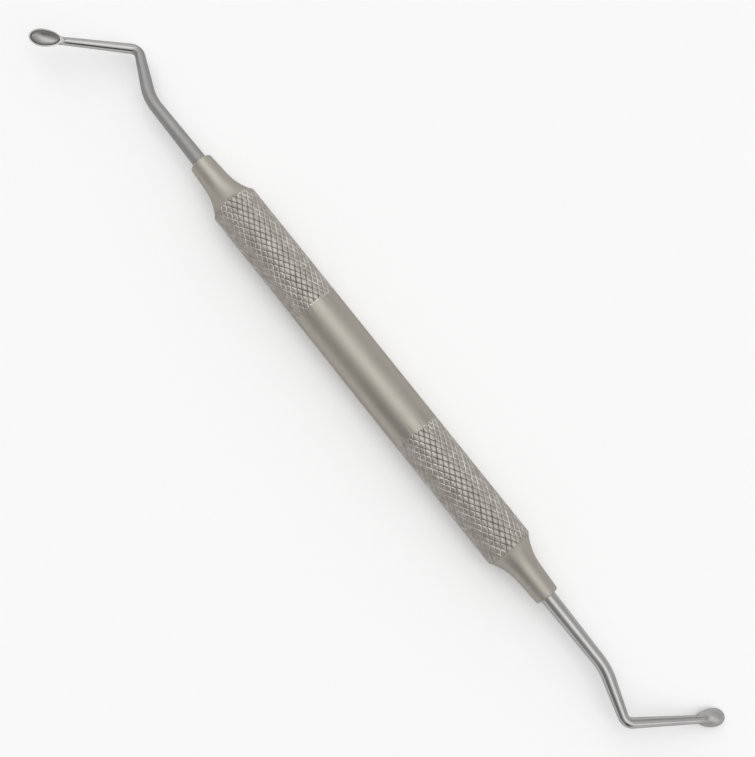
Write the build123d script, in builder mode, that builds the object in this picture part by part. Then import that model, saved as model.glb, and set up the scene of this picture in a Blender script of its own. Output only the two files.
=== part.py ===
from build123d import *

import os
from math import cos, hypot, radians, sin, sqrt

# Double-ended spoon curette for bone, in millimetres.
# A turned handle lies along X with the middle of its grip at the origin. A bent working end is
# pressed into the blind bore of each nose, and its spoon faces down at the front, towards +X,
# and up at the rear. The instrument lies on a level surface: the handle and the rim of the
# front spoon touch it, and the rear spoon is raised.

# Grip of the handle: two knurled lengths with a smooth band between them
handle_diameter = 9.0
rear_knurl_length = 24.7
smooth_band_length = 29.0
front_knurl_length = 26.3
shoulder_chamfer = 0.3

# Noses: a concave flare from the shoulder, then a slim cone to the seat of the working end
flare_length = 5.4
flare_top_diameter = 8.4
flare_foot_diameter = 5.0
rear_cone_length = 4.5
front_cone_length = 5.0
nose_diameter = 4.45
nose_edge_radius = 0.35

# Tang of each working end, and the blind bore that it is pressed into
tang_diameter = 2.85
tang_length = 12.0
tang_clearance = 0.01
bore_mouth_chamfer = 0.2

# Straight runs of the wire, from corner to corner of its centre line
shank_run = 15.65
rear_middle_run = 10.7
front_middle_run = 9.75
arm_run = 19.8

# Bends of the wire, all in one plane: the shank bends out and the arm comes back over the axis
rear_shank_bend_angle = 25.3
front_shank_bend_angle = 20.9
shank_bend_radius = 10.0
arm_slant = 53.2
arm_bend_radius = 1.7

# Thickness of the wire, which tapers all the way from the tang to the spoon
shank_bend_diameter = 2.4
arm_bend_diameter = 1.9
neck_diameter = 1.4

# Spoon at the tip of each arm, turned about the arm out of the plane of bends
spoon_length = 5.8
spoon_width = 3.35
spoon_depth = 1.35
spoon_wall = 0.25
spoon_widest_from_tip = 2.45
spoon_turn = 18.2
rim_height = 0.75
arm_end_from_tip = 3.2

# Sizes that follow from the ones above
handle_radius = handle_diameter / 2
shoulder_x = (rear_knurl_length + smooth_band_length + front_knurl_length) / 2
bore_diameter = tang_diameter + 2 * tang_clearance

# Round section of the bowl, from the width and the depth at its rim
bowl_radius = (spoon_width**2 / 4 + spoon_depth**2) / (2 * spoon_depth)
bowl_axis_over_rim = bowl_radius - spoon_depth
rim_share = sqrt(1 - (bowl_axis_over_rim / bowl_radius) ** 2)


def wire_corners(nose_length, middle_run, shank_bend_angle):
    """Return the corners of a centre line in its plane: tang, shank bend, arm bend and tip."""
    nose_face = shoulder_x + nose_length
    shank_corner = (nose_face + shank_run, 0)
    arm_corner = (
        shank_corner[0] + middle_run * cos(radians(shank_bend_angle)),
        -middle_run * sin(radians(shank_bend_angle)),
    )
    tip = (
        arm_corner[0] + arm_run * cos(radians(arm_slant)),
        arm_corner[1] + arm_run * sin(radians(arm_slant)),
    )
    return (nose_face - tang_length, 0), shank_corner, arm_corner, tip


rear_nose_length = flare_length + rear_cone_length
front_nose_length = flare_length + front_cone_length
rear_corners = wire_corners(rear_nose_length, rear_middle_run, rear_shank_bend_angle)
front_corners = wire_corners(front_nose_length, front_middle_run, front_shank_bend_angle)


def front_rim_drop(roll):
    """Return how far the front rim reaches below the handle's axis when the plane of bends has this roll."""
    slant = radians(arm_slant)
    turn = radians(spoon_turn)
    reach = front_corners[-1][1] - spoon_widest_from_tip * sin(slant) + rim_height * cos(slant) * sin(turn)
    middle = reach * sin(roll) + rim_height * cos(turn) * cos(roll)
    towards_tip = spoon_widest_from_tip * sin(slant) * sin(roll)
    sideways = spoon_width / 2 * (cos(slant) * cos(turn) * sin(roll) - sin(turn) * cos(roll))
    return middle + hypot(towards_tip, sideways)


# Roll at which the rim of the front spoon and the handle lie on one surface, found by halving
rest_roll = 0
roll_step = radians(45)
while roll_step > radians(0.0001):
    roll_step /= 2
    if front_rim_drop(rest_roll + roll_step) < handle_radius:
        rest_roll += roll_step
bend_normal = (0, sin(rest_roll), cos(rest_roll))


# Handle: one turned bar with a blind bore in each nose
def nose_profile(side, cone_length):
    """Draw one nose, from its face to the start of the knurl, towards X times side."""
    face = side * (shoulder_x + flare_length + cone_length)
    foot = side * (shoulder_x + flare_length)
    top = side * shoulder_x
    Line((face, 0), (face, nose_diameter / 2))
    cone = Line((face, nose_diameter / 2), (foot, flare_foot_diameter / 2))
    flare = TangentArc(cone @ 1, (top, flare_top_diameter / 2), tangent=cone % 1)
    Line(flare @ 1, (top - side * shoulder_chamfer, handle_radius))


with BuildPart() as handle:
    with BuildSketch(Plane.XZ) as handle_section:
        with BuildLine():
            nose_profile(-1, rear_cone_length)
            nose_profile(1, front_cone_length)
            Line((shoulder_chamfer - shoulder_x, handle_radius), (shoulder_x - shoulder_chamfer, handle_radius))
            Line((-shoulder_x - rear_nose_length, 0), (shoulder_x + front_nose_length, 0))
        make_face()
    revolve(axis=Axis.X)
    nose_faces = faces().filter_by(Axis.X).sort_by(Axis.X)
    fillet([nose_faces[0].edge(), nose_faces[-1].edge()], nose_edge_radius)
    for side, nose_length in ((-1, rear_nose_length), (1, front_nose_length)):
        nose_plane = Plane(origin=(side * (shoulder_x + nose_length), 0, 0), z_dir=(side, 0, 0))
        with Locations(nose_plane):
            Hole(bore_diameter / 2, depth=tang_length)
        rings = edges().filter_by(GeomType.CIRCLE).group_by(Axis(nose_plane.origin, nose_plane.z_dir))[-1]
        chamfer(rings.sort_by(SortBy.RADIUS)[0], bore_mouth_chamfer)
handle.part.label = "handle"


# Working ends: tang, shank, middle run and arm of one wire, with the spoon forged at its tip
def add_run(start, end, start_diameter, end_diameter):
    """Add a straight, evenly tapered length of wire to the part being built."""
    run = end - start
    with Locations(Plane(origin=start, z_dir=run)):
        Cone(start_diameter / 2, end_diameter / 2, run.length, align=(Align.CENTER, Align.CENTER, Align.MIN))


def add_bend(arc, diameter):
    """Add a bend of even thickness along an arc of the centre line."""
    with BuildSketch(Plane(arc ^ 0)) as bend_section:
        Circle(diameter / 2)
    sweep(bend_section.sketch, path=arc)


def add_bowl(frame, wall, mode):
    """Add the egg-shaped bowl along X of its frame, or cut its hollow, which lies a wall inside it."""
    radius = bowl_radius - wall
    tip_length = spoon_widest_from_tip / rim_share - wall
    neck_length = (spoon_length - spoon_widest_from_tip) / rim_share - wall
    with BuildSketch(frame) as bowl_section:
        with BuildLine():
            EllipticalCenterArc((spoon_widest_from_tip, 0), tip_length, radius, 90, arc_size=90)
            EllipticalCenterArc((spoon_widest_from_tip, 0), neck_length, radius, 0, arc_size=90)
            Line((spoon_widest_from_tip - tip_length, 0), (spoon_widest_from_tip + neck_length, 0))
        make_face()
    revolve(bowl_section.sketch, axis=Axis(frame.origin, frame.x_dir), mode=mode)


def working_end(plane, hollow_side, corners):
    """Build one working end in its plane of bends; its spoon opens towards hollow_side times the normal."""
    with BuildPart() as end:
        with BuildLine(plane) as centre_line:
            FilletPolyline(*corners, radius=(shank_bend_radius, arm_bend_radius))
        wire = centre_line.wire()
        shank_bend, arm_bend = wire.edges().filter_by(GeomType.CIRCLE).sort_by(Axis(plane.origin, plane.x_dir))
        arm_plane = Plane(origin=wire @ 1, x_dir=-(wire % 1), z_dir=plane.z_dir * hollow_side)
        rim_plane = arm_plane.rotated((hollow_side * spoon_turn, 0, 0)).offset(rim_height)
        bowl_frame = rim_plane.offset(bowl_axis_over_rim)
        add_bowl(bowl_frame, 0, Mode.ADD)
        split(bisect_by=rim_plane, keep=Keep.BOTTOM)
        with Locations(Plane(origin=wire @ 0, z_dir=plane.x_dir)):
            Cylinder(tang_diameter / 2, tang_length, align=(Align.CENTER, Align.CENTER, Align.MIN))
        add_run(wire @ 0 + plane.x_dir * tang_length, shank_bend @ 0, tang_diameter, shank_bend_diameter)
        add_bend(shank_bend, shank_bend_diameter)
        add_run(shank_bend @ 1, arm_bend @ 0, shank_bend_diameter, arm_bend_diameter)
        add_bend(arm_bend, arm_bend_diameter)
        add_run(arm_bend @ 1, wire @ 1 - (wire % 1) * arm_end_from_tip, arm_bend_diameter, neck_diameter)
        add_bowl(bowl_frame, spoon_wall, Mode.SUBTRACT)
    return end


front_plane = Plane(origin=(0, 0, 0), x_dir=(1, 0, 0), z_dir=bend_normal)
rear_plane = Plane(origin=(0, 0, 0), x_dir=(-1, 0, 0), z_dir=bend_normal)
front_working_end = working_end(front_plane, -1, front_corners)
front_working_end.part.label = "front_working_end"
rear_working_end = working_end(rear_plane, 1, rear_corners)
rear_working_end.part.label = "rear_working_end"

os.makedirs("parts", exist_ok=True)
export_step(handle.part, "parts/handle.step")
export_step(front_working_end.part, "parts/front_working_end.step")
export_step(rear_working_end.part, "parts/rear_working_end.step")
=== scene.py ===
import logging
from dataclasses import dataclass, field
from enum import Enum
from math import acos, atan2, cos, degrees, hypot, pi, radians, sin, sqrt, tan
from typing import Callable

import bmesh
import bpy
import numpy as np
from mathutils import Matrix, Vector


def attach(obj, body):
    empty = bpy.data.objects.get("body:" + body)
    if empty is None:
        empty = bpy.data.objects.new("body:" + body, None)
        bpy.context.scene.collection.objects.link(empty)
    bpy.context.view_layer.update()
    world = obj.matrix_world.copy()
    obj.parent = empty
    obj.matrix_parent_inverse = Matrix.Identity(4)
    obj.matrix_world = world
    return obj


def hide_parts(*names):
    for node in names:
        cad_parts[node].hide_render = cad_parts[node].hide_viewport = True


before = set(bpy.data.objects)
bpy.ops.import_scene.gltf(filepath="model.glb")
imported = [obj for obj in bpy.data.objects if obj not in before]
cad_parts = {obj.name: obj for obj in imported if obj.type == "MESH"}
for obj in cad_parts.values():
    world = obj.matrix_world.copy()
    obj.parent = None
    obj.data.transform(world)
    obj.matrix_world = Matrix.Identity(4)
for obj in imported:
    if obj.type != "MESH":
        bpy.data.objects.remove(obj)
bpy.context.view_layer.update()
MM = 0.001
LOG = logging.getLogger("curette")
Place = tuple | np.ndarray
Socket = bpy.types.NodeSocket

# Angle between faces, in degrees, over which an edge stays crisp
SHARP_ANGLE = 50
# Radius of the small face that closes the bottom of a bore
NEAR_AXIS = 0.01
# Part of a noise's range that is stretched to 0 to 1
NOISE_RANGE = (0.3, 0.7)
# Tint of steel's edge reflections
STEEL_TINT = (0.5, 0.5, 0.5, 1)
# Steps in a search by halving
HALVINGS = 40
# Distance under which two points are one, and rise that needs no closing face, in millimetres
SAME_PLACE = 1e-6
SMALL_STEP = 0.001
# First and last step of the search for the roll, in degrees
ROLL_STEPS = (45, 0.0001)
# Rounding of a lip from its wall to its flat: rise and spread, as shares of the lip
LIP_CURVE = ((-0.35, 0.1), (-0.08, 0.45), (0.0, 1.0))
# Angle of the photograph's camera about the handle's axis, from square over the plane of the bends
PLANE_OF_BENDS = 24.46


class End(Enum):
    """The two ends of the instrument, by the sign of X that they lie on."""

    FRONT = 1
    REAR = -1


# Curves and rings


def corner_arc(before: Place, corner: Place, after: Place, radius: float, count: int) -> list:
    """Round one corner of a flat outline.

    Args:
        before: Point before the corner.
        corner: The corner itself.
        after: Point after the corner.
        radius: Radius of the rounding.
        count: Number of points on the arc.

    Returns:
        Points of the arc, from the side of before to the side of after.
    """
    here = np.array(corner, float)
    back = np.array(before, float) - here
    ahead = np.array(after, float) - here
    back /= np.linalg.norm(back)
    ahead /= np.linalg.norm(ahead)
    half = acos(float(np.clip(back @ ahead, -1, 1))) / 2
    middle = here + (back + ahead) / np.linalg.norm(back + ahead) * radius / sin(half)
    start = here + back * radius / tan(half) - middle
    end = here + ahead * radius / tan(half) - middle
    sweep = pi - 2 * half
    shares = np.linspace(0, 1, count)
    points = [(sin((1 - t) * sweep) * start + sin(t * sweep) * end) / sin(sweep) + middle for t in shares]
    return [tuple(point) for point in points]


def tangent_arc(start: Place, heading: Place, end: Place, count: int) -> list:
    """Draw the arc that leaves one point along a heading and ends at another.

    Args:
        start: First point.
        heading: Direction at the first point.
        end: Last point.
        count: Number of points, both ends counted.

    Returns:
        Points of the arc.
    """
    first = np.array(start, float)
    chord = np.array(end, float) - first
    along = np.array(heading, float) / np.linalg.norm(heading)
    across = np.array((-along[1], along[0]))
    radius = (chord @ chord) / (2 * chord @ across)
    middle = first + across * radius
    sweep = 2 * atan2(chord @ across, chord @ along)
    points = []
    for t in np.linspace(0, sweep, count):
        points.append(tuple(middle + radius * (sin(t) * along - cos(t) * across)))
    return points


def smooth_step(value: np.ndarray) -> np.ndarray:
    """Ease a share from 0 to 1."""
    value = np.clip(value, 0, 1)
    return value * value * (3 - 2 * value)


def reach_inside(outside: Callable, most: np.ndarray) -> np.ndarray:
    """Find by halving how far many points can go before they leave a body.

    Args:
        outside: Says for an array of distances which of them end outside.
        most: Largest distances.

    Returns:
        The last distances that end inside.
    """
    low, high = np.zeros_like(most), most
    for _ in range(HALVINGS):
        middle = (low + high) / 2
        beyond = outside(middle)
        high, low = np.where(beyond, middle, high), np.where(beyond, low, middle)
    return low


def add_object(name: str, data: bpy.types.ID) -> bpy.types.Object:
    """Add an object with its data to the scene."""
    thing = bpy.data.objects.new(name, data)
    bpy.context.scene.collection.objects.link(thing)
    return thing


def make_piece(name: str, points: np.ndarray, faces: list) -> bpy.types.Object:
    """Turn points and faces into a smooth-shaded piece.

    Args:
        name: Name of the piece.
        points: Points in millimetres, one a row.
        faces: Loops of point numbers.

    Returns:
        The new object, linked to the scene.
    """
    mesh = bpy.data.meshes.new(name)
    mesh.from_pydata((points * MM).tolist(), [], faces)
    mesh.validate()
    mesh.shade_smooth()
    mesh.set_sharp_from_angle(angle=radians(SHARP_ANGLE))
    return add_object(name, mesh)


def turn_faces_out(piece: bpy.types.Object) -> None:
    """Make every face of the piece look outwards."""
    mesh = bmesh.new()
    mesh.from_mesh(piece.data)
    bmesh.ops.recalc_face_normals(mesh, faces=mesh.faces)
    mesh.to_mesh(piece.data)
    mesh.free()


def triangle_count(piece: bpy.types.Object) -> int:
    """Count the triangles that a piece's faces make."""
    return sum(len(face.vertices) - 2 for face in piece.data.polygons)


def ring_faces(rows: int, columns: int, first: int = 0) -> list:
    """Join closed rings of points, one after another, with four-sided faces.

    Args:
        rows: Number of rings.
        columns: Number of points in a ring.
        first: Number of the first point.

    Returns:
        Loops of point numbers.
    """
    faces = []
    for row in range(rows - 1):
        near = first + row * columns
        far = near + columns
        for column in range(columns):
            beside = (column + 1) % columns
            faces.append((near + column, far + column, far + beside, near + beside))
    return faces


def end_caps(count: int, columns: int) -> list:
    """Close the first and the last of the rings that make up a number of points."""
    return [tuple(range(columns)), tuple(range(count - 1, count - columns - 1, -1))]


# Shared effects, as node groups


class Nodes:
    """A node tree with short calls for adding and joining nodes."""

    def __init__(self, tree: bpy.types.NodeTree) -> None:
        """Keep the tree that the calls work on."""
        self.tree = tree

    def add(self, kind: str, **values: object) -> bpy.types.Node:
        """Add a node.

        Args:
            kind: Blender's name of the node type.
            values: Properties of the node.

        Returns:
            The new node.
        """
        node = self.tree.nodes.new(kind)
        for name, value in values.items():
            setattr(node, name, value)
        return node

    def join(self, source: Socket, target: Socket) -> None:
        """Link two sockets."""
        self.tree.links.new(source, target)

    def math(self, operation: str, *values: object) -> Socket:
        """Add a Math node.

        Args:
            operation: Blender's name of the operation.
            values: Sockets or numbers for its inputs.

        Returns:
            The output socket.
        """
        node = self.add("ShaderNodeMath", operation=operation)
        for socket, value in zip(node.inputs, values):
            if isinstance(value, (int, float)):
                socket.default_value = value
            else:
                self.join(value, socket)
        return node.outputs[0]

    def span(self, value: Socket, low: float, high: float, start: float = 0, end: float = 1) -> Socket:
        """Map one range of a value smoothly onto another.

        Args:
            value: The value to map.
            low: Value that gives start.
            high: Value that gives end.
            start: Result at low.
            end: Result at high.

        Returns:
            The output socket.
        """
        node = self.add("ShaderNodeMapRange", interpolation_type="SMOOTHSTEP")
        for name, number in (("From Min", low), ("From Max", high), ("To Min", start), ("To Max", end)):
            node.inputs[name].default_value = number
        self.join(value, node.inputs["Value"])
        return node.outputs[0]

    def blend(self, share: Socket, first: object, second: object) -> Socket:
        """Mix two colours.

        Args:
            share: Share of the second colour.
            first: Colour or socket.
            second: Colour or socket.

        Returns:
            The output socket.
        """
        node = self.add("ShaderNodeMix", data_type="RGBA")
        self.join(share, node.inputs["Factor"])
        for socket, value in ((node.inputs[6], first), (node.inputs[7], second)):
            if isinstance(value, tuple):
                socket.default_value = (*value, 1)
            else:
                self.join(value, socket)
        return node.outputs[2]

    def place(self) -> Socket:
        """Add the place of a point in its object's own axes."""
        return self.add("ShaderNodeTexCoord").outputs["Object"]

    def noise(self, place: Socket, scale: Socket, detail: float) -> Socket:
        """Add noise that runs from 0 to 1.

        Args:
            place: Where on the surface a point lies.
            scale: Scale of the noise.
            detail: How many finer layers it has.

        Returns:
            The output socket.
        """
        node = self.add("ShaderNodeTexNoise")
        node.inputs["Detail"].default_value = detail
        self.join(place, node.inputs["Vector"])
        self.join(scale, node.inputs["Scale"])
        return self.span(node.outputs[0], *NOISE_RANGE)


def new_effect(name: str, inputs: dict, outputs: tuple) -> tuple:
    """Start a shader node group.

    Args:
        name: Name of the group.
        inputs: Default number of each input, by name.
        outputs: Names of the outputs, which are values.

    Returns:
        The group, its nodes, the sockets of its inputs and the sockets of its outputs, both by name.
    """
    group = bpy.data.node_groups.new(name, "ShaderNodeTree")
    for key, value in inputs.items():
        socket = group.interface.new_socket(name=key, in_out="INPUT", socket_type="NodeSocketFloat")
        socket.default_value = value
    for key in outputs:
        group.interface.new_socket(name=key, in_out="OUTPUT", socket_type="NodeSocketFloat")
    nodes = Nodes(group)
    start = nodes.add("NodeGroupInput")
    end = nodes.add("NodeGroupOutput")
    return group, nodes, start.outputs, end.inputs


def blasted_grain() -> bpy.types.NodeTree:
    """Make the effect of bead blasting: fine pits and soft clouds of shine.

    Returns:
        A group with the outputs Pits and Clouds, both from 0 to 1.
    """
    group, nodes, given, result = new_effect(
        "blasted_grain", {"Pit Scale": 9000.0, "Cloud Scale": 130.0}, ("Pits", "Clouds")
    )
    for name, scale, detail in (("Pits", "Pit Scale", 2), ("Clouds", "Cloud Scale", 4)):
        nodes.join(nodes.noise(nodes.place(), given[scale], detail), result[name])
    return group


def polish_lines() -> bpy.types.NodeTree:
    """Make the effect of grinding and polishing along a wire: fine lines and a few wider wavers.

    Returns:
        A group with the outputs Lines and Wavers, both from 0 to 1.
    """
    group, nodes, given, result = new_effect(
        "polish_lines", {"Line Scale": 2500.0, "Stretch": 0.05, "Waver Scale": 250.0}, ("Lines", "Wavers")
    )
    squeeze = nodes.add("ShaderNodeCombineXYZ")
    nodes.join(given["Stretch"], squeeze.inputs[0])
    squeeze.inputs[1].default_value = 1
    squeeze.inputs[2].default_value = 1
    stretched = nodes.add("ShaderNodeVectorMath", operation="MULTIPLY")
    nodes.join(nodes.place(), stretched.inputs[0])
    nodes.join(squeeze.outputs[0], stretched.inputs[1])
    nodes.join(nodes.noise(stretched.outputs[0], given["Line Scale"], 3), result["Lines"])
    nodes.join(nodes.noise(nodes.place(), given["Waver Scale"], 3), result["Wavers"])
    return group


def axis_place() -> bpy.types.NodeTree:
    """Make the measure of where a point of the surface lies from the handle's middle, in millimetres.

    Returns:
        A group with the outputs Along, along the handle's axis, and Distance, away from it.
    """
    group, nodes, given, result = new_effect("axis_place", {"Unit": 1 / MM}, ("Along", "Distance"))
    parts = nodes.add("ShaderNodeSeparateXYZ")
    nodes.join(nodes.place(), parts.inputs[0])
    along, side, high = parts.outputs
    square = nodes.math("ADD", nodes.math("MULTIPLY", side, side), nodes.math("MULTIPLY", high, high))
    for name, length in (("Along", along), ("Distance", nodes.math("SQRT", square))):
        nodes.join(nodes.math("MULTIPLY", length, given["Unit"]), result[name])
    return group


@dataclass(frozen=True)
class Effects:
    """The node groups that the finishes share."""

    grain: bpy.types.NodeTree
    lines: bpy.types.NodeTree
    place: bpy.types.NodeTree


def set_inputs(node: bpy.types.Node, values: dict) -> None:
    """Set sockets of a node by name, with _ for a space."""
    for name, value in values.items():
        node.inputs[name.replace("_", " ")].default_value = value


def place_effect(nodes: Nodes, effect: bpy.types.NodeTree, **values: float) -> bpy.types.Node:
    """Place a shared effect in a material.

    Args:
        nodes: The material's nodes.
        effect: The node group.
        values: Numbers for its inputs, with _ for a space.

    Returns:
        The group's node.
    """
    node = nodes.add("ShaderNodeGroup", node_tree=effect)
    set_inputs(node, values)
    return node


def new_material(name: str, **values: object) -> tuple:
    """Start a material.

    Args:
        name: Name of the material.
        values: Constants for the Principled shader's sockets, with _ for a space.

    Returns:
        The material, its nodes and its Principled shader.
    """
    material = bpy.data.materials.new(name)
    material.use_nodes = True
    shader = material.node_tree.nodes["Principled BSDF"]
    set_inputs(shader, values)
    return material, Nodes(material.node_tree), shader


def add_relief(nodes: Nodes, shader: bpy.types.Node, height: Socket, depth: float, strength: float) -> None:
    """Give a shader fine relief.

    Args:
        nodes: The material's nodes.
        shader: The Principled shader.
        height: Height of the relief, from 0 to 1.
        depth: Height that 1 stands for, in millimetres.
        strength: Strength of the relief.
    """
    bump = nodes.add("ShaderNodeBump")
    bump.inputs["Distance"].default_value = depth * MM
    bump.inputs["Strength"].default_value = strength
    nodes.join(height, bump.inputs["Height"])
    nodes.join(bump.outputs[0], shader.inputs["Normal"])


@dataclass(frozen=True)
class SatinFinish:
    """Blasted steel of the handle; on the knurled lengths, groove edges that are worn and carry a painted
    highlight, and grooves darkened with painted shade.
    """

    crest_radius: float
    groove_depth: float
    band_middle: float
    band_half: float
    base: tuple = (0.450, 0.424, 0.374)
    cloudy: tuple = (0.420, 0.396, 0.349)
    pad: tuple = (0.480, 0.445, 0.415)
    dull_pad: tuple = (0.400, 0.368, 0.338)
    # Painted highlight on the groove edges, lighter than any steel, broken up by the wear clouds
    edge: tuple = (0.800, 0.780, 0.740)
    # Painted shade in the grooves, darker than the steel
    groove: tuple = (0.300, 0.276, 0.250)
    dull: float = 0.50
    shiny: float = 0.43
    worn: float = 0.28
    wear_scale: float = 750.0
    pit_depth: float = 0.006
    relief: float = 0.35
    # Lengths over which one look fades into the next: band to knurl, and down from the crests to the pads
    # and the painted highlight on the groove edges
    band_fade: float = 0.05
    pad_depth: float = 0.03
    edge_fade_in: tuple = (0.09, 0.05)
    edge_fade_out: tuple = (0.03, 0.005)
    # Heights over and depths under the bottom of the grooves, which bound the painted shade in them
    groove_floor: float = 0.02
    below_grooves: tuple = (0.06, 0.02)

    def material(self, effects: Effects) -> bpy.types.Material:
        """Build the material.

        Args:
            effects: The shared node groups.

        Returns:
            The material.
        """
        material, nodes, shader = new_material("satin_handle_steel", Metallic=1, Specular_Tint=STEEL_TINT)
        grain = place_effect(nodes, effects.grain)
        wear = place_effect(nodes, effects.grain, Cloud_Scale=self.wear_scale).outputs["Clouds"]
        place = place_effect(nodes, effects.place).outputs
        distance = place["Distance"]
        from_band = nodes.math("ABSOLUTE", nodes.math("SUBTRACT", place["Along"], self.band_middle))
        knurled = nodes.span(from_band, self.band_half - self.band_fade, self.band_half + self.band_fade)
        top = self.crest_radius
        low = top - self.groove_depth
        on_pad = nodes.math("MULTIPLY", knurled, nodes.span(distance, top - self.pad_depth, top))
        # Just under the crests: worn groove edges, shinier and with a painted highlight in their colour
        rising = nodes.span(distance, *(top - depth for depth in self.edge_fade_in))
        falling = nodes.span(distance, *(top - depth for depth in self.edge_fade_out), 1, 0)
        edge = nodes.math("MULTIPLY", rising, falling)
        edge = nodes.math("MULTIPLY", edge, nodes.math("MULTIPLY", knurled, wear))
        # Painted shade, darkest at the bottom of the grooves and fading towards the crests
        groove = nodes.span(distance, low + self.groove_floor, top - self.edge_fade_in[1], 1, 0)
        groove = nodes.math("MULTIPLY", knurled, groove)
        in_grip = nodes.span(distance, *(low - depth for depth in self.below_grooves))
        steel = nodes.blend(grain.outputs["Clouds"], self.base, self.cloudy)
        steel = nodes.blend(on_pad, steel, nodes.blend(wear, self.dull_pad, self.pad))
        steel = nodes.blend(nodes.math("MULTIPLY", groove, in_grip), steel, self.groove)
        steel = nodes.blend(edge, steel, self.edge)
        nodes.join(steel, shader.inputs["Base Color"])
        satin = nodes.span(grain.outputs["Clouds"], 0, 1, self.dull, self.shiny)
        shine = nodes.math("MULTIPLY", nodes.math("SUBTRACT", self.worn, satin), edge)
        nodes.join(nodes.math("ADD", satin, shine), shader.inputs["Roughness"])
        add_relief(nodes, shader, grain.outputs["Pits"], self.pit_depth, self.relief)
        return material


@dataclass(frozen=True)
class WireFinish:
    """Ground steel of a working end: polished, satin on the spoon and, if wanted, blasted on the shank."""

    name: str
    spoon_from: float
    blasted_to: float = 0.0
    base: tuple = (0.440, 0.434, 0.428)
    worn: tuple = (0.410, 0.405, 0.399)
    frosted: tuple = (0.370, 0.366, 0.358)
    polished: float = 0.10
    blasted: float = 0.60
    satin: float = 0.42
    line_range: float = 0.07
    cloud_range: float = 0.05
    cloud_scale: float = 300.0
    spoon_fade: float = 0.5
    blast_fade: float = 0.4
    pit_depth: float = 0.006
    scratches: float = 0.1
    relief: float = 0.3

    def material(self, effects: Effects) -> bpy.types.Material:
        """Build the material.

        Args:
            effects: The shared node groups.

        Returns:
            The material.
        """
        material, nodes, shader = new_material(self.name, Metallic=1, Specular_Tint=STEEL_TINT)
        lines = place_effect(nodes, effects.lines)
        grain = place_effect(nodes, effects.grain, Cloud_Scale=self.cloud_scale)
        along = nodes.math("ABSOLUTE", place_effect(nodes, effects.place).outputs["Along"])
        on_spoon = nodes.span(along, self.spoon_from - self.spoon_fade, self.spoon_from + self.spoon_fade)
        end, fade = self.blasted_to, self.blast_fade
        frosted = nodes.span(along, end - fade, end + fade, 1, 0)
        colour = nodes.blend(lines.outputs["Wavers"], self.base, self.worn)
        nodes.join(nodes.blend(frosted, colour, self.frosted), shader.inputs["Base Color"])
        rough = nodes.span(lines.outputs["Lines"], 0, 1, self.polished, self.polished + self.line_range)
        for mask, level in ((on_spoon, self.satin), (frosted, self.blasted)):
            matt = nodes.span(grain.outputs["Clouds"], 0, 1, level, level - self.cloud_range)
            step = nodes.math("MULTIPLY", nodes.math("SUBTRACT", matt, rough), mask)
            rough = nodes.math("ADD", rough, step)
        nodes.join(rough, shader.inputs["Roughness"])
        pits = nodes.math("MULTIPLY", grain.outputs["Pits"], frosted)
        scratches = nodes.math("MULTIPLY", lines.outputs["Lines"], self.scratches)
        add_relief(nodes, shader, nodes.math("ADD", pits, scratches), self.pit_depth, self.relief)
        return material


# Handle


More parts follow.
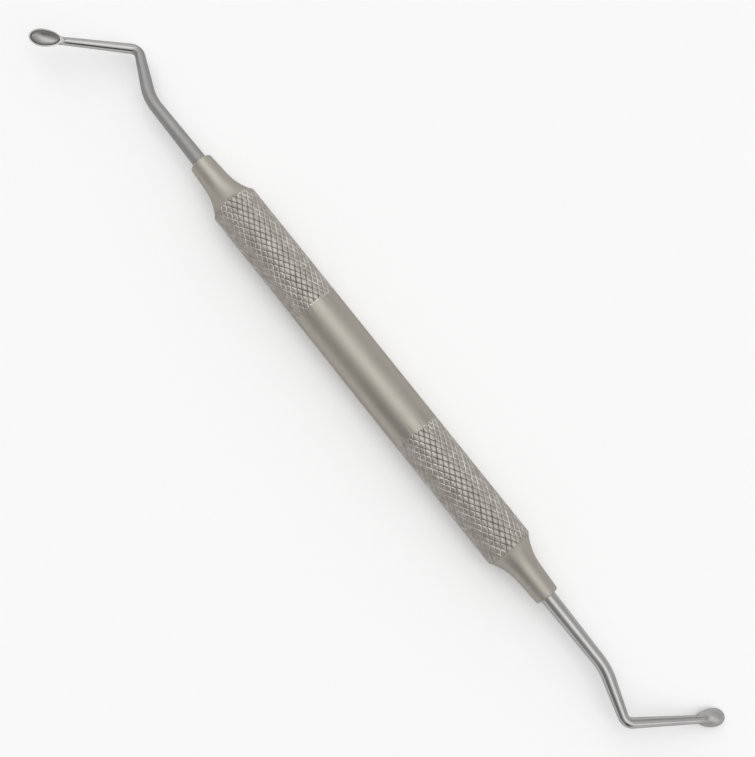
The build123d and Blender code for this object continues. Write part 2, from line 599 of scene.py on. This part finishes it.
@dataclass
class Handle:
    """Turned handle with two cross-knurled lengths, a smooth band and a bored nose at each end."""

    diameter: float = 9.0
    rear_knurl: float = 24.7
    smooth_band: float = 29.0
    front_knurl: float = 26.3
    shoulder_chamfer: float = 0.3
    flare: float = 5.4
    flare_top: float = 8.4
    flare_foot: float = 5.0
    rear_cone: float = 4.5
    front_cone: float = 5.0
    nose: float = 4.45
    nose_rounding: float = 0.35
    bore: float = 2.87
    bore_depth: float = 12.0
    mouth_chamfer: float = 0.2
    knurl_starts: int = 24
    knurl_pitch: float = 1.72
    knurl_depth: float = 0.14
    shoulder_share: float = 0.11
    runout: float = 0.25
    points_a_pitch: int = 10
    rounding_points: int = 7
    flare_points: int = 25
    band_rings: int = 13

    @property
    def radius(self) -> float:
        """Radius of the grip."""
        return self.diameter / 2

    @property
    def shoulder(self) -> float:
        """Distance of the shoulders from the middle of the grip."""
        return (self.rear_knurl + self.smooth_band + self.front_knurl) / 2

    @property
    def columns(self) -> int:
        """Points around the handle."""
        return self.knurl_starts * self.points_a_pitch

    def nose_face(self, end: End) -> float:
        """Distance of a nose's face from the middle of the grip."""
        return self.shoulder + self.flare + (self.front_cone if end is End.FRONT else self.rear_cone)

    def nose_outline(self, end: End) -> list:
        """Draw a nose, from the bottom of its bore out to the shoulder.

        Args:
            end: Which nose.

        Returns:
            Pairs of distance from the middle of the grip and radius.
        """
        face = self.nose_face(end)
        bore = self.bore / 2
        foot = (self.shoulder + self.flare, self.flare_foot / 2)
        rim = (face, self.nose / 2)
        outline = [(face - self.bore_depth, NEAR_AXIS), (face - self.bore_depth, bore)]
        outline += [(face - self.mouth_chamfer, bore), (face, bore + self.mouth_chamfer)]
        outline += corner_arc((face, bore), rim, foot, self.nose_rounding, self.rounding_points)
        heading = (foot[0] - rim[0], foot[1] - rim[1])
        return outline + tangent_arc(foot, heading, (self.shoulder, self.flare_top / 2), self.flare_points)

    def knurl_rows(self, start: float, length: float) -> np.ndarray:
        """Space the rows of points on a knurled length.

        Args:
            start: X of its lower end.
            length: Its length.

        Returns:
            X of each row.
        """
        steps = round(length / self.knurl_pitch * self.points_a_pitch)
        return np.linspace(start, start + length, steps + 1)

    def knurl_points(self, rows: np.ndarray, inner: float) -> np.ndarray:
        """Lay crossed grooves on a knurled length.

        Args:
            rows: X of each row.
            inner: X of the end where the grooves run out.

        Returns:
            Points, one ring after another.
        """
        count = self.points_a_pitch
        around = np.arange(self.columns)
        angle = 2 * pi * around / self.columns
        steps = np.arange(len(rows))[:, None]
        one_way = ((steps + around) % count) / count
        other_way = ((steps - around) % count) / count
        nearest = np.minimum(np.minimum(one_way, 1 - one_way), np.minimum(other_way, 1 - other_way))
        depth = self.knurl_depth * (1 - smooth_step(nearest / self.shoulder_share))
        depth *= np.clip(np.abs(rows - inner) / self.runout, 0, 1)[:, None]
        to_shoulder = self.shoulder - np.abs(rows)
        slope = np.clip(1 - to_shoulder / self.shoulder_chamfer, 0, 1) * self.shoulder_chamfer
        radius = np.minimum(self.radius - depth, (self.radius - slope)[:, None])
        across = np.repeat(rows[:, None], self.columns, axis=1)
        return np.stack((across, radius * np.cos(angle), radius * np.sin(angle)), axis=-1).reshape(-1, 3)

    def knurl_faces(self, rows: int, first: int) -> list:
        """Join the points of a knurled length, with an edge along every groove.

        Args:
            rows: Number of rings.
            first: Number of its first point.

        Returns:
            Loops of point numbers.
        """
        faces = []
        for number, (a, b, c, d) in enumerate(ring_faces(rows, self.columns, first)):
            row, column = divmod(number, self.columns)
            if (row + column + 1) % self.points_a_pitch == 0:
                faces += [(a, b, d), (b, c, d)]
            elif (row - column) % self.points_a_pitch == 0:
                faces += [(a, b, c), (a, c, d)]
            else:
                faces.append((a, b, c, d))
        return faces

    def plain_points(self, outline: list) -> np.ndarray:
        """Turn an outline of X and radius into rings of points."""
        angle = 2 * pi * np.arange(self.columns) / self.columns
        places = np.array(outline)
        across = np.repeat(places[:, :1], self.columns, axis=1)
        rings = (across, places[:, 1:] * np.cos(angle), places[:, 1:] * np.sin(angle))
        return np.stack(rings, axis=-1).reshape(-1, 3)

    def build(self) -> bpy.types.Object:
        """Build the handle as one closed mesh.

        Returns:
            The piece.
        """
        rear = [(-x, radius) for x, radius in self.nose_outline(End.REAR)]
        front = self.nose_outline(End.FRONT)[::-1]
        rear_inner = self.rear_knurl - self.shoulder
        front_inner = self.shoulder - self.front_knurl
        rear_rows = self.knurl_rows(-self.shoulder, self.rear_knurl)
        front_rows = self.knurl_rows(front_inner, self.front_knurl)
        band = [(x, self.radius) for x in np.linspace(rear_inner, front_inner, self.band_rings)[1:-1]]
        parts = [
            (self.plain_points(rear[:-1]), False),
            (self.knurl_points(rear_rows, rear_inner), True),
            (self.plain_points(band), False),
            (self.knurl_points(front_rows, front_inner), True),
            (self.plain_points(front[1:]), False),
        ]
        faces, first = [], 0
        for part, knurled in parts:
            rows = len(part) // self.columns
            faces += self.knurl_faces(rows, first) if knurled else ring_faces(rows, self.columns, first)
            if first:
                faces += ring_faces(2, self.columns, first - self.columns)
            first += len(part)
        points = np.vstack([part for part, _ in parts])
        return make_piece("turned_handle", points, faces + end_caps(len(points), self.columns))

    def dress(self, piece: bpy.types.Object, effects: Effects) -> None:
        """Give the handle its finish and its place in the frame.

        Args:
            piece: The handle.
            effects: The shared node groups.
        """
        middle = (self.rear_knurl - self.front_knurl) / 2
        finish = SatinFinish(self.radius, self.knurl_depth, middle, self.smooth_band / 2)
        piece.data.materials.append(finish.material(effects))
        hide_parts("handle")
        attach(piece, "root")


# Working ends


@dataclass
class WorkingEnd:
    """One bent wire, from its tang in the handle's bore to the spoon at its tip."""

    end: End
    nose_face: float
    bend_angle: float
    middle_run: float
    tang: float = 2.85
    tang_length: float = 12.0
    shank_run: float = 15.65
    arm_run: float = 19.8
    shank_radius: float = 10.0
    arm_slant: float = 53.2
    arm_radius: float = 1.7
    shank_bend: float = 2.4
    arm_bend: float = 1.9
    neck: float = 1.4
    spoon_length: float = 5.8
    spoon_width: float = 3.35
    spoon_depth: float = 1.35
    spoon_wall: float = 0.25
    widest: float = 2.45
    spoon_turn: float = 18.2
    rim_height: float = 0.75
    arm_end: float = 3.2
    roll: float = 0.0
    lip: float = 0.06
    # How arm and spoon run into each other, in millimetres and from the tip
    fairing: float = 0.55
    keel_from: float = 4.9
    close_from: float = 8.0
    blend_run: float = 2.0
    early_rise: float = 0.1
    # How far one skin lies under another where the two overlap
    sink: float = 0.012
    under_rim: float = 0.01
    under_skin: float = 0.003
    deep_in_arm: float = -0.3
    widest_search: float = 3.0
    # Fineness of the mesh
    segments: int = 96
    bend_points: int = 24
    run_points: tuple = (3, 24, 16, 40, 64)
    egg_span: tuple = (0.02, 0.97)
    hollow_rings: int = 20
    back_rings: int = 44

    def corners(self) -> list:
        """Corners of the centre line in its plane: tang, shank bend, arm bend and tip."""
        shank = (self.nose_face + self.shank_run, 0.0)
        angle = radians(self.bend_angle)
        arm = (shank[0] + self.middle_run * cos(angle), -self.middle_run * sin(angle))
        slant = radians(self.arm_slant)
        tip = (arm[0] + self.arm_run * cos(slant), arm[1] + self.arm_run * sin(slant))
        return [(self.nose_face - self.tang_length, 0.0), shank, arm, tip]

    @property
    def bowl_radius(self) -> float:
        """Radius of the bowl across, from its width and depth at the rim."""
        return (self.spoon_width**2 / 4 + self.spoon_depth**2) / (2 * self.spoon_depth)

    @property
    def over_rim(self) -> float:
        """Height of the bowl's middle over its rim."""
        return self.bowl_radius - self.spoon_depth

    @property
    def bowl_reaches(self) -> tuple:
        """Length of the bowl's full egg towards the tip and towards the neck of its widest place."""
        share = sqrt(1 - (self.over_rim / self.bowl_radius) ** 2)
        return self.widest / share, (self.spoon_length - self.widest) / share

    def axes(self) -> Matrix:
        """Plane of bends: its X along the handle, its Y towards the arm and its Z as the normal."""
        normal = Vector((0, sin(self.roll), cos(self.roll)))
        along = Vector((self.end.value, 0, 0))
        return Matrix((along, normal.cross(along), normal)).transposed()

    def arm_width(self, x: float) -> float:
        """Diameter of the arm at a distance from the tip."""
        return self.neck + (self.arm_bend - self.neck) * (x - self.arm_end) / (self.arm_run - self.arm_end)

    def centre_line(self) -> tuple:
        """Follow the centre line of the wire.

        Returns:
            Points in the plane, headings there and the wire's radius at each.
        """
        tang, shank, arm, tip = [np.array(corner) for corner in self.corners()]
        first = corner_arc(tang, shank, arm, self.shank_radius, self.bend_points)
        second = corner_arc(shank, arm, tip, self.arm_radius, self.bend_points)
        face = (self.nose_face, 0.0)
        toward = (tip - arm) / self.arm_run
        close = tip - toward * self.close_from
        close_width = self.arm_width(self.close_from)
        runs = [
            (tang, face, self.tang, self.tang),
            (face, first[0], self.tang, self.shank_bend),
            (first[-1], second[0], self.shank_bend, self.arm_bend),
            (second[-1], close, self.arm_bend, close_width),
            (close, tip - toward * self.arm_end, close_width, self.neck),
        ]
        points, widths = [], []
        for (start, finish, wide, thin), count in zip(runs, self.run_points):
            shares = np.linspace(0, 1, count)[:, None]
            points.append(np.array(start) * (1 - shares) + np.array(finish) * shares)
            widths.append(wide + (thin - wide) * shares[:, 0])
        for place, arc, width in ((2, first, self.shank_bend), (4, second, self.arm_bend)):
            points.insert(place, np.array(arc[1:-1]))
            widths.insert(place, np.full(len(arc) - 2, width))
        line = np.vstack(points)
        radius = np.concatenate(widths) / 2
        keep = np.append(True, np.linalg.norm(np.diff(line, axis=0), axis=1) > SAME_PLACE)
        line, radius = line[keep], radius[keep]
        ahead = np.gradient(line, axis=0)
        return line, ahead / np.linalg.norm(ahead, axis=1)[:, None], radius

    def to_bowl(self, side: np.ndarray, high: np.ndarray) -> tuple:
        """Turn places across the arm into the spoon's own sideways and upwards."""
        turn = radians(self.spoon_turn)
        return side * cos(turn) - high * sin(turn), side * sin(turn) + high * cos(turn)

    def to_arm(self, side: np.ndarray, high: np.ndarray) -> tuple:
        """Turn places in the spoon's own sideways and upwards into places across the arm."""
        turn = radians(self.spoon_turn)
        return side * cos(turn) + high * sin(turn), high * cos(turn) - side * sin(turn)

    def bowl_distance(self, x: np.ndarray, side: np.ndarray, high: np.ndarray) -> np.ndarray:
        """Measure roughly how far points lie outside the bowl, taken as full up to its rim.

        Args:
            x: Distance from the tip towards the neck.
            side: Distance to the side of the arm's centre line.
            high: Height over it.

        Returns:
            Distances, below zero inside the bowl.
        """
        tip, neck = self.bowl_reaches
        length = np.where(x < self.widest, tip, neck)
        across, up = self.to_bowl(side, high)
        over = up - self.rim_height
        section = (across**2 + (over - self.over_rim) ** 2) / self.bowl_radius**2
        share = np.sqrt(((x - self.widest) / length) ** 2 + section)
        return np.maximum((share - 1) * self.bowl_radius, over)

    def thinned(self, x: np.ndarray, radius: np.ndarray) -> np.ndarray:
        """Thin the arm down to nothing on its way along the spoon's back."""
        return radius * (1 - smooth_step((self.keel_from - x) / (self.keel_from - self.arm_end)))

    def skin_distance(self, x: np.ndarray, side: np.ndarray, high: np.ndarray, radius: np.ndarray) -> tuple:
        """Measure how far points lie outside arm and bowl, with a fairing between the two.

        Args:
            x: Distance from the tip towards the neck.
            side: Distance to the side of the arm's centre line.
            high: Height over it.
            radius: Radius of the arm there.

        Returns:
            Distances, and how much nearer the bowl is than the arm, as a share of the fairing.
        """
        arm = np.hypot(side, high) - self.thinned(x, radius)
        bowl = self.bowl_distance(x, side, high)
        near = np.maximum(1 - np.abs(arm - bowl) / self.fairing, 0)
        return np.minimum(arm, bowl) - near**2 * self.fairing / 4, (arm - bowl) / self.fairing

    def skin_radius(self, x: np.ndarray, angle: np.ndarray, radius: np.ndarray) -> np.ndarray:
        """Find how far the skin of the neck lies from the arm's centre line.

        Args:
            x: Distance from the tip towards the neck, one a ring.
            angle: Direction around the centre line, one a point of a ring.
            radius: Radius of the plain arm, one a ring.

        Returns:
            Distances, one ring a row.
        """
        far, around = np.meshgrid(x, angle, indexing="ij")
        plain = np.repeat(radius[:, None], len(angle), axis=1)

        def measure(reach: np.ndarray) -> tuple:
            """Measure the skin's distance at a reach from the centre line."""
            return self.skin_distance(far, reach * np.cos(around), reach * np.sin(around), plain)

        reach = reach_inside(lambda tried: measure(tried)[0] > 0, np.full_like(far, self.widest_search))
        return reach - smooth_step(measure(reach)[1]) * self.sink

    def faired(self, places: np.ndarray) -> np.ndarray:
        """Push points of the bowl's back out onto the fairing of the neck.

        Args:
            places: Points in the spoon's own axes, one a row.

        Returns:
            The points, those deep inside the arm left as they are.
        """
        x, across, up = places.T
        tip, neck = self.bowl_reaches
        lengths = np.where(x < self.widest, tip, neck)
        rise = up - self.rim_height - self.over_rim
        square = self.bowl_radius**2
        slope = np.stack(((x - self.widest) / lengths**2, across / square, rise / square), axis=1)
        slope /= np.linalg.norm(slope, axis=1)[:, None]

        def measure(lift: np.ndarray) -> tuple:
            """Measure the skin's distance after a lift."""
            x, across, up = (places + slope * lift[:, None]).T
            return self.skin_distance(x, *self.to_arm(across, up), self.arm_width(x) / 2)

        lift = reach_inside(lambda tried: measure(tried)[0] > 0, np.full(len(x), self.fairing / 2))
        left = (measure(lift)[1] < self.deep_in_arm) | (x < self.arm_end)
        lift = np.where(left, 0, np.maximum(lift - self.under_skin, 0))
        return places + slope * lift[:, None]

    def wire(self) -> tuple:
        """Build the skin of the wire, in the plane of bends.

        Returns:
            Points and faces.
        """
        line, ahead, radius = self.centre_line()
        angle = 2 * pi * np.arange(self.segments) / self.segments
        tip = np.array(self.corners()[-1])
        from_tip = (tip - line) @ ahead[-1]
        skin = np.repeat(radius[:, None], self.segments, axis=1)
        neck = from_tip < self.spoon_length + self.blend_run
        skin[neck] = self.skin_radius(from_tip[neck], angle, radius[neck])
        side, high = skin * np.cos(angle), skin * np.sin(angle)
        across, up = self.to_bowl(side[neck], high[neck])
        rise = smooth_step((from_tip[neck, None] - self.spoon_length + self.early_rise) / self.blend_run)
        up = np.minimum(up, self.rim_height + rise - self.under_rim)
        up = self.below_hollow(from_tip[neck, None], across, up)
        side[neck], high[neck] = self.to_arm(across, up)
        flat_up = np.full(self.segments, self.rim_height - self.under_rim)
        end_up = self.below_hollow(from_tip[-1], across[-1], flat_up)
        end_side, end_high = self.to_arm(across[-1], end_up)
        side, high = np.vstack((side, end_side)), np.vstack((high, end_high))
        line, ahead = np.vstack((line, line[-1:])), np.vstack((ahead, ahead[-1:]))
        sideways = np.stack((-ahead[:, 1], ahead[:, 0]), axis=1)
        flat = line[:, None, :] + side[..., None] * sideways[:, None, :]
        points = np.concatenate((flat, high[..., None] * -self.end.value), axis=-1).reshape(-1, 3)
        faces = ring_faces(len(line), self.segments)
        moved = end_up > up[-1] + SMALL_STEP
        moved |= np.roll(moved, -1)
        seam = len(faces) - self.segments
        closing = [face for face, kept in zip(faces[seam:], moved) if kept]
        return points, [tuple(range(self.segments - 1, -1, -1))] + faces[:seam] + closing

    def below_hollow(self, x: np.ndarray, across: np.ndarray, up: np.ndarray) -> np.ndarray:
        """Keep the end of the arm out of the spoon's hollow, inside its wall.

        Args:
            x: Distance from the tip towards the neck, one a ring.
            across: The spoon's own sideways, one ring a row.
            up: The spoon's own upwards, one ring a row.

        Returns:
            The spoon's own upwards, lowered under the hollow.
        """
        inside = self.spoon_wall / 3
        radius = self.bowl_radius - self.spoon_wall + inside
        length = self.bowl_reaches[1] - self.spoon_wall + inside
        share = radius**2 * (1 - ((x - self.widest) / length) ** 2) - across**2
        floor = self.rim_height + self.over_rim - np.sqrt(np.maximum(share, 0))
        return np.where((share > 0) & (floor < self.rim_height), np.minimum(up, floor), up)

    def bowl_ring(self, share: float, wall: float, lift: float = 0.0, spread: float = 0.0) -> np.ndarray:
        """Place one ring of the spoon.

        Args:
            share: Share of the way from the bottom of the egg to its rim.
            wall: How far inside the back it lies.
            lift: Height to add.
            spread: Distance outwards to add.

        Returns:
            Points in the spoon's own axes, one a row.
        """
        around = 2 * pi * np.arange(self.segments) / self.segments
        radius = self.bowl_radius - wall
        reach = np.where(np.cos(around) < 0, *self.bowl_reaches) - wall
        polar = acos(self.over_rim / radius) * share
        x = self.widest + (reach * sin(polar) + spread) * np.cos(around)
        y = (radius * sin(polar) + spread) * np.sin(around)
        z = np.full(self.segments, self.rim_height + self.over_rim - radius * cos(polar) + lift)
        return np.stack((x, y, z), axis=-1)

    def bowl(self) -> tuple:
        """Build the spoon, ring by ring: floor of the hollow, lip, rim, lip and back.

        Returns:
            Points in the plane of bends and faces.
        """
        start, stop = self.egg_span
        hollow = np.linspace(start, stop, self.hollow_rings)
        back = np.linspace(stop, start, self.back_rings)
        lip = [(self.lip * rise, self.lip * spread) for rise, spread in LIP_CURVE]
        rings = [self.bowl_ring(share, self.spoon_wall) for share in hollow]
        rings += [self.bowl_ring(1, self.spoon_wall, rise, spread) for rise, spread in lip]
        rings += [self.bowl_ring(1, 0, rise, -spread) for rise, spread in reversed(lip)]
        rings += [self.faired(self.bowl_ring(share, 0)) for share in back]
        local = np.vstack(rings)
        tip = np.array(self.corners()[-1])
        slant = radians(self.arm_slant)
        to_neck = -np.array((cos(slant), sin(slant)))
        sideways = np.array((to_neck[1], -to_neck[0]))
        side, high = self.to_arm(local[:, 1:2], local[:, 2:])
        flat = tip + local[:, :1] * to_neck + side * sideways
        points = np.concatenate((flat, high * -self.end.value), axis=1)
        return points, ring_faces(len(rings), self.segments) + end_caps(len(points), self.segments)

    def build(self) -> bpy.types.Object:
        """Build the working end.

        Returns:
            The piece.
        """
        wire_points, wire_faces = self.wire()
        bowl_points, bowl_faces = self.bowl()
        shifted = [tuple(number + len(wire_points) for number in face) for face in bowl_faces]
        points = np.vstack((wire_points, bowl_points)) @ np.array(self.axes()).T
        name = "front_wire_and_spoon" if self.end is End.FRONT else "rear_wire_and_spoon"
        piece = make_piece(name, points, wire_faces + shifted)
        turn_faces_out(piece)
        return piece

    def dress(self, piece: bpy.types.Object, effects: Effects) -> None:
        """Give the working end its finish and its place in the frame.

        Args:
            piece: The working end.
            effects: The shared node groups.
        """
        tip = self.corners()[-1][0]
        spoon_from = tip - self.spoon_length * cos(radians(self.arm_slant))
        if self.end is End.FRONT:
            finish = WireFinish("front_wire_steel", spoon_from)
            node, slot = "front_working_end", "front_wire"
        else:
            finish = WireFinish("rear_wire_steel", spoon_from, self.corners()[2][0])
            node, slot = "rear_working_end", "rear_wire"
        piece.data.materials.append(finish.material(effects))
        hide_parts(node)
        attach(piece, "root")


# Studio

# Light of the sky by its angle from the view axis, towards the picture's upper right and its upper left
ACROSS_GLOW = {
    90: 0.07, 70: 0.26, 52: 0.42, 38: 0.42, 26: 1.10, 16: 1.45,
    6: 0.88, -4: 0.93, -16: 0.25, -32: 0.0, -90: 0.0,
}
ALONG_GLOW = {90: 0.08, 55: 0.32, 35: 0.66, 15: 0.28, -15: 0.46, -35: 0.05, -55: 0.0, -90: 0.0}


@dataclass
class Studio:
    """Pale floor, soft light and the camera of the photograph."""

    floor_height: float
    lean: float
    tilt: float = 5.77
    picture_angle: float = 51.33
    distance: float = 200.0
    offset: tuple = (-1.554, -1.041)
    lens: float = 52.9
    sensor: float = 36.0
    nearest: float = 0.01
    floor_size: float = 6.0
    wall_height: float = 0.5
    paint: float = 0.86
    roughness: float = 0.9
    paint_glow: float = 0.15
    across_glow: dict = field(default_factory=lambda: dict(ACROSS_GLOW))
    along_glow: dict = field(default_factory=lambda: dict(ALONG_GLOW))

    def view(self) -> Matrix:
        """Axes of the view in the frame: to the right, downwards and away, one a row."""
        turn, tilt, lean = radians(self.picture_angle), radians(self.tilt), radians(self.lean)
        along = Vector((cos(turn), sin(turn), 0))
        across = Vector((-sin(turn), cos(turn), 0))
        near = Vector((0, 0, -1))
        handle = cos(tilt) * along + sin(tilt) * near
        up = cos(tilt) * near - sin(tilt) * along
        reach = -cos(lean) * across - sin(lean) * up
        rise = cos(lean) * up - sin(lean) * across
        return Matrix((handle, reach, rise)).transposed()

    def camera(self) -> None:
        """Set the camera at the photograph's viewing angle."""
        view = self.view()
        data = bpy.data.cameras.new("photo_camera")
        data.lens = self.lens
        data.sensor_width = self.sensor
        data.clip_start = self.nearest
        camera = add_object("photo_camera", data)
        axes = Matrix((view[0], -view[1], -view[2])).transposed()
        middle = Vector((*self.offset, self.distance)) * MM
        camera.matrix_world = Matrix.Translation(-(view.transposed() @ middle)) @ axes.to_4x4()
        bpy.context.scene.camera = camera

    def floor(self) -> None:
        """Lay the pale floor, with a low wall far out on each side."""
        half = self.floor_size / 2
        corners = [(-half, -half), (half, -half), (half, half), (-half, half)]
        levels = (self.floor_height, self.floor_height + self.wall_height)
        walls = [((side + 1) % 4, side, side + 4, (side + 1) % 4 + 4) for side in range(4)]
        points = [(x, y, level) for level in levels for x, y in corners]
        mesh = bpy.data.meshes.new("studio_floor")
        mesh.from_pydata(points, [], [(0, 1, 2, 3), *walls])
        colour, white = (self.paint, self.paint, self.paint, 1), (1, 1, 1, 1)
        material, nodes, shader = new_material(
            "studio_floor_paint", Base_Color=colour, Roughness=self.roughness,
            Specular_IOR_Level=0, Emission_Color=white,
        )
        rays = nodes.add("ShaderNodeLightPath")
        seen = nodes.math("MAXIMUM", rays.outputs["Is Camera Ray"], rays.outputs["Is Glossy Ray"])
        seen = nodes.math("MAXIMUM", seen, rays.outputs["Is Transmission Ray"])
        nodes.join(nodes.math("MULTIPLY", seen, self.paint_glow), shader.inputs["Emission Strength"])
        mesh.materials.append(material)
        floor = add_object("studio_floor", mesh)

    def glow(self, nodes: Nodes, direction: Vector, levels: dict) -> Socket:
        """Grade the light of the sky along one direction.

        Args:
            nodes: The world's nodes.
            direction: The direction.
            levels: Light at each angle from the view axis towards the direction, in degrees.

        Returns:
            The colour output.
        """
        toward = nodes.add("ShaderNodeVectorMath", operation="DOT_PRODUCT")
        toward.inputs[1].default_value = -direction
        nodes.join(nodes.add("ShaderNodeTexCoord").outputs["Generated"], toward.inputs[0])
        ramp = nodes.add("ShaderNodeValToRGB")
        elements = ramp.color_ramp.elements
        stops = [((1 - sin(radians(angle))) / 2, level) for angle, level in levels.items()]
        for element, (position, level) in zip(elements, (stops[0], stops[-1])):
            element.position, element.color = position, (level, level, level, 1)
        for position, level in stops[1:-1]:
            elements.new(position).color = (level, level, level, 1)
        nodes.join(nodes.math("MULTIPLY_ADD", toward.outputs["Value"], 0.5, 0.5), ramp.inputs[0])
        return ramp.outputs[0]

    def sky(self) -> None:
        """Surround the scene with soft light, graded across the handle and along it."""
        world = bpy.data.worlds.new("studio_light")
        bpy.context.scene.world = world
        world.use_nodes = True
        nodes = Nodes(world.node_tree)
        view = self.view()
        turn = radians(self.picture_angle)
        to_right = sin(turn) * view[0] - cos(turn) * view[1]
        to_rear = -cos(turn) * view[0] - sin(turn) * view[1]
        both = nodes.add("ShaderNodeVectorMath", operation="ADD")
        nodes.join(self.glow(nodes, to_right, self.across_glow), both.inputs[0])
        nodes.join(self.glow(nodes, to_rear, self.along_glow), both.inputs[1])
        nodes.join(both.outputs[0], world.node_tree.nodes["Background"].inputs["Color"])

    def build(self) -> None:
        """Set up floor, light, camera and colour."""
        self.floor()
        self.sky()
        self.camera()
        bpy.context.scene.view_settings.view_transform = "Standard"


def rim_drop(front: WorkingEnd, roll: float) -> float:
    """Measure how far the rim of the front spoon reaches below the handle's axis.

    Args:
        front: The front working end.
        roll: Roll of the plane of bends about the handle, in radians.

    Returns:
        The depth, in millimetres.
    """
    slant, turn = radians(front.arm_slant), radians(front.spoon_turn)
    reach = front.corners()[-1][1] - front.widest * sin(slant)
    reach += front.rim_height * cos(slant) * sin(turn)
    middle = reach * sin(roll) + front.rim_height * cos(turn) * cos(roll)
    sideways = front.spoon_width / 2 * (cos(slant) * cos(turn) * sin(roll) - sin(turn) * cos(roll))
    return middle + hypot(front.widest * sin(slant) * sin(roll), sideways)


def rest_roll(handle: Handle, front: WorkingEnd) -> float:
    """Find the roll at which the rim of the front spoon lies on the floor with the handle.

    Args:
        handle: The handle.
        front: The front working end.

    Returns:
        The roll of the plane of bends about the handle, in radians.
    """
    roll, step = 0.0, radians(ROLL_STEPS[0])
    while step > radians(ROLL_STEPS[1]):
        step /= 2
        if rim_drop(front, roll + step) < handle.radius:
            roll += step
    return roll


def main() -> None:
    """Build the curette and its studio, and report each piece."""
    logging.basicConfig(level=logging.INFO)
    effects = Effects(blasted_grain(), polish_lines(), axis_place())
    handle = Handle()
    piece = handle.build()
    handle.dress(piece, effects)
    LOG.info("%s: %d triangles", piece.name, triangle_count(piece))
    front = WorkingEnd(End.FRONT, handle.nose_face(End.FRONT), bend_angle=20.9, middle_run=9.75)
    rear = WorkingEnd(End.REAR, handle.nose_face(End.REAR), bend_angle=25.3, middle_run=10.7)
    roll = rest_roll(handle, front)
    for working_end in (front, rear):
        working_end.roll = roll
        piece = working_end.build()
        working_end.dress(piece, effects)
        LOG.info("%s: %d triangles", piece.name, triangle_count(piece))
    Studio(-handle.radius * MM, PLANE_OF_BENDS - degrees(roll)).build()


if __name__ == "__main__":
    main()
